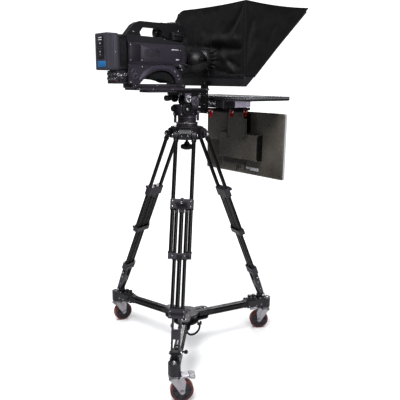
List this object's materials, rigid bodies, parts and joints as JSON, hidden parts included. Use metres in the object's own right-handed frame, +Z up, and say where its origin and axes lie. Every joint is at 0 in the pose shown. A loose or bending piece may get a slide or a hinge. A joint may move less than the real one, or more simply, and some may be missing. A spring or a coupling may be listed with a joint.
{
  "type": "teleprompter",
  "caption": "Studio teleprompter on a wheeled tripod: shoulder camera behind a hooded beam-splitter glass, flat script monitor below it and a talent monitor hanging in front.",
  "frame": {"origin": "centre of the object's box in plan, on the floor", "axes": "+X is the way the camera lens looks, +Z up; the pan axis stands at X -44.2 mm, Y -42.4 mm"},
  "size_m": [0.9764, 0.8926, 1.6715],
  "materials": {
    "cast_grey": "satin powder coat over cast alloy",
    "black_tube": "glossy black anodised tube",
    "black_plastic": "matte moulded plastic",
    "zinc_steel": "bright zinc plate",
    "wheel_rubber": "red-brown cast polyurethane tread on a dark core",
    "black_metal": "satin black paint",
    "red_metal": "red anodised",
    "screen_glass": "gloss screen face",
    "beam_glass": "semi-reflective coated glass",
    "hood_cloth": "black woven nylon",
    "camera_plastic": "textured grey-violet paint",
    "lens_rubber": "ribbed rubber"
  },
  "bodies": {
    "dolly": {"dolly_hub": "cast_grey", "dolly_arms": "black_tube", "dolly_brackets": "cast_grey", "dolly_fasteners": "black_plastic", "leg_feet": "black_plastic"},
    "bail": {"dolly_handle": "black_plastic"},
    "caster_front": {"caster_fork_front": "zinc_steel"},
    "wheel_front": {"caster_wheel_front": "wheel_rubber"},
    "pedal_front": {"brake_pedal_front": "zinc_steel"},
    "caster_right": {"caster_fork_right": "zinc_steel"},
    "wheel_right": {"caster_wheel_right": "wheel_rubber"},
    "pedal_right": {"brake_pedal_right": "zinc_steel"},
    "caster_left": {"caster_fork_left": "zinc_steel"},
    "wheel_left": {"caster_wheel_left": "wheel_rubber"},
    "pedal_left": {"brake_pedal_left": "zinc_steel"},
    "bowl": {"tripod_bowl": "cast_grey"},
    "leg_lower_front": {"leg_inner_front": "black_tube"},
    "leg_upper_front": {"leg_outer_front": "black_tube"},
    "leg_wing_front": {"leg_lock_front": "black_plastic"},
    "leg_lower_right": {"leg_inner_right": "black_tube"},
    "leg_upper_right": {"leg_outer_right": "black_tube"},
    "leg_wing_right": {"leg_lock_right": "black_plastic"},
    "leg_lower_left": {"leg_inner_left": "black_tube"},
    "leg_upper_left": {"leg_outer_left": "black_tube"},
    "leg_wing_left": {"leg_lock_left": "black_plastic"},
    "clamp_knob": {"bowl_clamp_knob": "black_plastic"},
    "head_base": {"head_base": "black_metal"},
    "pan_head": {"head_body": "black_metal"},
    "tilt_dial": {"tilt_drag_dial": "black_plastic"},
    "pan_dial": {"pan_drag_dial": "black_plastic"},
    "tilt_lever": {"tilt_lock_lever": "black_plastic"},
    "pan_lever": {"pan_lock_lever": "black_plastic"},
    "cradle": {"tilt_cradle": "black_metal"},
    "plate_knob": {"plate_lock_knob": "black_plastic"},
    "camera_plate": {"sliding_plate": "black_metal", "prompter_base_plate": "black_metal", "prompter_upright": "black_metal", "camera_quick_plate": "black_metal", "prompter_rods": "black_tube", "hood_frame": "black_metal", "beam_splitter_glass": "beam_glass", "hood_fabric": "hood_cloth", "camera_body": "camera_plastic", "camera_shoulder_frame": "camera_plastic", "camera_handle": "camera_plastic", "lens_barrel": "black_plastic", "lens_servo_grip": "black_plastic"},
    "battery_pack": {"battery": "black_plastic"},
    "zoom_ring": {"lens_zoom_ring": "lens_rubber"},
    "viewfinder_tube": {"viewfinder": "black_plastic"},
    "lever_rear": {"rod_lever_rear": "red_metal"},
    "carriage": {"rod_clamps": "black_metal", "prompter_monitor_shell": "black_plastic", "prompter_monitor_screen": "screen_glass", "talent_bracket": "black_metal"},
    "lever_middle": {"rod_lever_middle": "red_metal"},
    "lever_front": {"rod_lever_front": "red_metal"},
    "talent_monitor": {"talent_monitor_shell": "black_plastic", "talent_monitor_screen": "screen_glass"}
  },
  "joints": [
    {"name": "bail_swing", "type": "hinge", "parent": "dolly", "child": "bail", "pos_m": [-0.04424, -0.10044, 0.125], "axis": [1, 0, 0], "range_deg": [-75, 0]},
    {"name": "caster_swivel_front", "type": "hinge", "parent": "dolly", "child": "caster_front", "pos_m": [-0.38224, -0.38044, 0.115], "axis": [0, 0, 1], "continuous": true},
    {"name": "wheel_spin_front", "type": "hinge", "parent": "caster_front", "child": "wheel_front", "pos_m": [-0.3551, -0.39739, 0.05], "axis": [0.5299, 0.848, 0], "continuous": true},
    {"name": "brake_pedal_front", "type": "hinge", "parent": "caster_front", "child": "pedal_front", "pos_m": [-0.3568, -0.39633, 0.115], "axis": [0.5299, 0.848, 0], "range_deg": [0, 12]},
    {"name": "caster_swivel_right", "type": "hinge", "parent": "dolly", "child": "caster_right", "pos_m": [0.41747, -0.16615, 0.115], "axis": [0, 0, 1], "continuous": true},
    {"name": "wheel_spin_right", "type": "hinge", "parent": "caster_right", "child": "wheel_right", "pos_m": [0.39191, -0.14689, 0.05], "axis": [-0.6018, -0.7986, 0], "continuous": true},
    {"name": "brake_pedal_right", "type": "hinge", "parent": "caster_right", "child": "pedal_right", "pos_m": [0.39351, -0.1481, 0.115], "axis": [-0.6018, -0.7986, 0], "range_deg": [0, 12]},
    {"name": "caster_swivel_left", "type": "hinge", "parent": "dolly", "child": "caster_left", "pos_m": [-0.16796, 0.41928, 0.115], "axis": [0, 0, 1], "continuous": true},
    {"name": "wheel_spin_left", "type": "hinge", "parent": "caster_left", "child": "wheel_left", "pos_m": [-0.13627, 0.41482, 0.05], "axis": [0.1392, 0.9903, 0], "continuous": true},
    {"name": "brake_pedal_left", "type": "hinge", "parent": "caster_left", "child": "pedal_left", "pos_m": [-0.13825, 0.4151, 0.115], "axis": [0.1392, 0.9903, 0], "range_deg": [0, 12]},
    {"name": "tripod_height", "type": "slide", "parent": "dolly", "child": "bowl", "axis": [0, 0, 1], "range_m": [-0.1, 0.1]},
    {"name": "leg_spread_front", "type": "hinge", "parent": "dolly", "child": "leg_lower_front", "pos_m": [-0.35997, -0.35816, 0.205], "axis": [0.7071, -0.7071, 0], "range_deg": [-2.34, 2.34]},
    {"name": "leg_extend_front", "type": "slide", "parent": "leg_lower_front", "child": "leg_upper_front", "axis": [0.2711, 0.2711, 0.9236], "range_m": [-0.09421, 0.09421]},
    {"name": "leg_lock_front", "type": "hinge", "parent": "leg_lower_front", "child": "leg_wing_front", "pos_m": [-0.20321, -0.20141, 0.8043], "axis": [-0.6531, -0.6531, 0.3834], "range_deg": [-90, 90]},
    {"name": "leg_spread_right", "type": "hinge", "parent": "dolly", "child": "leg_lower_right", "pos_m": [0.38704, -0.158, 0.205], "axis": [0.2588, 0.9659, 0], "range_deg": [-2.34, 2.34]},
    {"name": "leg_extend_right", "type": "slide", "parent": "leg_lower_right", "child": "leg_upper_right", "axis": [-0.3703, 0.0992, 0.9236], "range_m": [-0.09421, 0.09421]},
    {"name": "leg_lock_right", "type": "hinge", "parent": "leg_lower_right", "child": "leg_wing_right", "pos_m": [0.17292, -0.10063, 0.8043], "axis": [0.8921, -0.239, 0.3834], "range_deg": [-90, 90]},
    {"name": "leg_spread_left", "type": "hinge", "parent": "dolly", "child": "leg_lower_left", "pos_m": [-0.15981, 0.38885, 0.205], "axis": [-0.9659, -0.2588, 0], "range_deg": [-2.34, 2.34]},
    {"name": "leg_extend_left", "type": "slide", "parent": "leg_lower_left", "child": "leg_upper_left", "axis": [0.0992, -0.3703, 0.9236], "range_m": [-0.09421, 0.09421]},
    {"name": "leg_lock_left", "type": "hinge", "parent": "leg_lower_left", "child": "leg_wing_left", "pos_m": [-0.10243, 0.17472, 0.8043], "axis": [-0.239, 0.8921, 0.3834], "range_deg": [-90, 90]},
    {"name": "head_level", "type": "hinge", "parent": "bowl", "child": "head_base", "pos_m": [-0.04424, -0.04244, 1.126], "axis": [0, 1, 0], "range_deg": [-6, 6]},
    {"name": "bowl_clamp", "type": "hinge", "parent": "head_base", "child": "clamp_knob", "pos_m": [-0.04424, -0.04244, 1.035], "axis": [0, 0, 1], "continuous": true},
    {"name": "pan", "type": "hinge", "parent": "head_base", "child": "pan_head", "pos_m": [-0.04424, -0.04244, 1.158], "axis": [0, 0, 1], "continuous": true},
    {"name": "tilt_drag", "type": "hinge", "parent": "pan_head", "child": "tilt_dial", "pos_m": [-0.07224, -0.07844, 1.203], "axis": [0, 1, 0], "continuous": true},
    {"name": "pan_drag", "type": "hinge", "parent": "pan_head", "child": "pan_dial", "pos_m": [-0.11224, -0.02444, 1.205], "axis": [1, 0, 0], "continuous": true},
    {"name": "tilt_lock", "type": "hinge", "parent": "pan_head", "child": "tilt_lever", "pos_m": [-0.11224, -0.04244, 1.182], "axis": [1, 0, 0], "range_deg": [0, 60]},
    {"name": "pan_lock", "type": "hinge", "parent": "pan_head", "child": "pan_lever", "pos_m": [-0.01224, -0.08044, 1.19], "axis": [0, 1, 0], "range_deg": [-60, 0]},
    {"name": "tilt", "type": "hinge", "parent": "pan_head", "child": "cradle", "pos_m": [-0.03624, -0.04244, 1.238], "axis": [0, 1, 0], "range_deg": [-15, 12]},
    {"name": "plate_lock", "type": "hinge", "parent": "cradle", "child": "plate_knob", "pos_m": [-0.14224, -0.02244, 1.252], "axis": [1, 0, 0], "continuous": true},
    {"name": "plate_slide", "type": "slide", "parent": "cradle", "child": "camera_plate", "axis": [1, 0, 0], "range_m": [-0.004, 0.06]},
    {"name": "battery_release", "type": "slide", "parent": "camera_plate", "child": "battery_pack", "axis": [0, 0, 1], "range_m": [0, 0.04]},
    {"name": "zoom", "type": "hinge", "parent": "camera_plate", "child": "zoom_ring", "pos_m": [-0.00024, -0.04244, 1.424], "axis": [1, 0, 0], "range_deg": [-60, 60]},
    {"name": "viewfinder_swivel", "type": "hinge", "parent": "camera_plate", "child": "viewfinder_tube", "pos_m": [-0.08424, 0.00756, 1.538], "axis": [0, 1, 0], "range_deg": [-90, 30]},
    {"name": "rod_lever_rear", "type": "hinge", "parent": "camera_plate", "child": "lever_rear", "pos_m": [0.06376, -0.09044, 1.19], "axis": [0, 1, 0], "range_deg": [-75, 0]},
    {"name": "carriage_slide", "type": "slide", "parent": "camera_plate", "child": "carriage", "axis": [1, 0, 0], "range_m": [0, 0.04]},
    {"name": "rod_lever_middle", "type": "hinge", "parent": "carriage", "child": "lever_middle", "pos_m": [0.19876, -0.09144, 1.184], "axis": [0, 1, 0], "range_deg": [-75, 0]},
    {"name": "rod_lever_front", "type": "hinge", "parent": "carriage", "child": "lever_front", "pos_m": [0.29676, -0.09144, 1.184], "axis": [0, 1, 0], "range_deg": [-75, 0]},
    {"name": "talent_height", "type": "slide", "parent": "carriage", "child": "talent_monitor", "axis": [0, 0, 1], "range_m": [-0.03, 0.004]}
  ],
  "couplings": [
    {"joint": "leg_spread_front", "follows": "tripod_height", "rad_per_m": 0.40098},
    {"joint": "leg_extend_front", "follows": "tripod_height", "ratio": 0.9236},
    {"joint": "leg_spread_right", "follows": "tripod_height", "rad_per_m": 0.40098},
    {"joint": "leg_extend_right", "follows": "tripod_height", "ratio": 0.9236},
    {"joint": "leg_spread_left", "follows": "tripod_height", "rad_per_m": 0.40098},
    {"joint": "leg_extend_left", "follows": "tripod_height", "ratio": 0.9236}
  ]
}
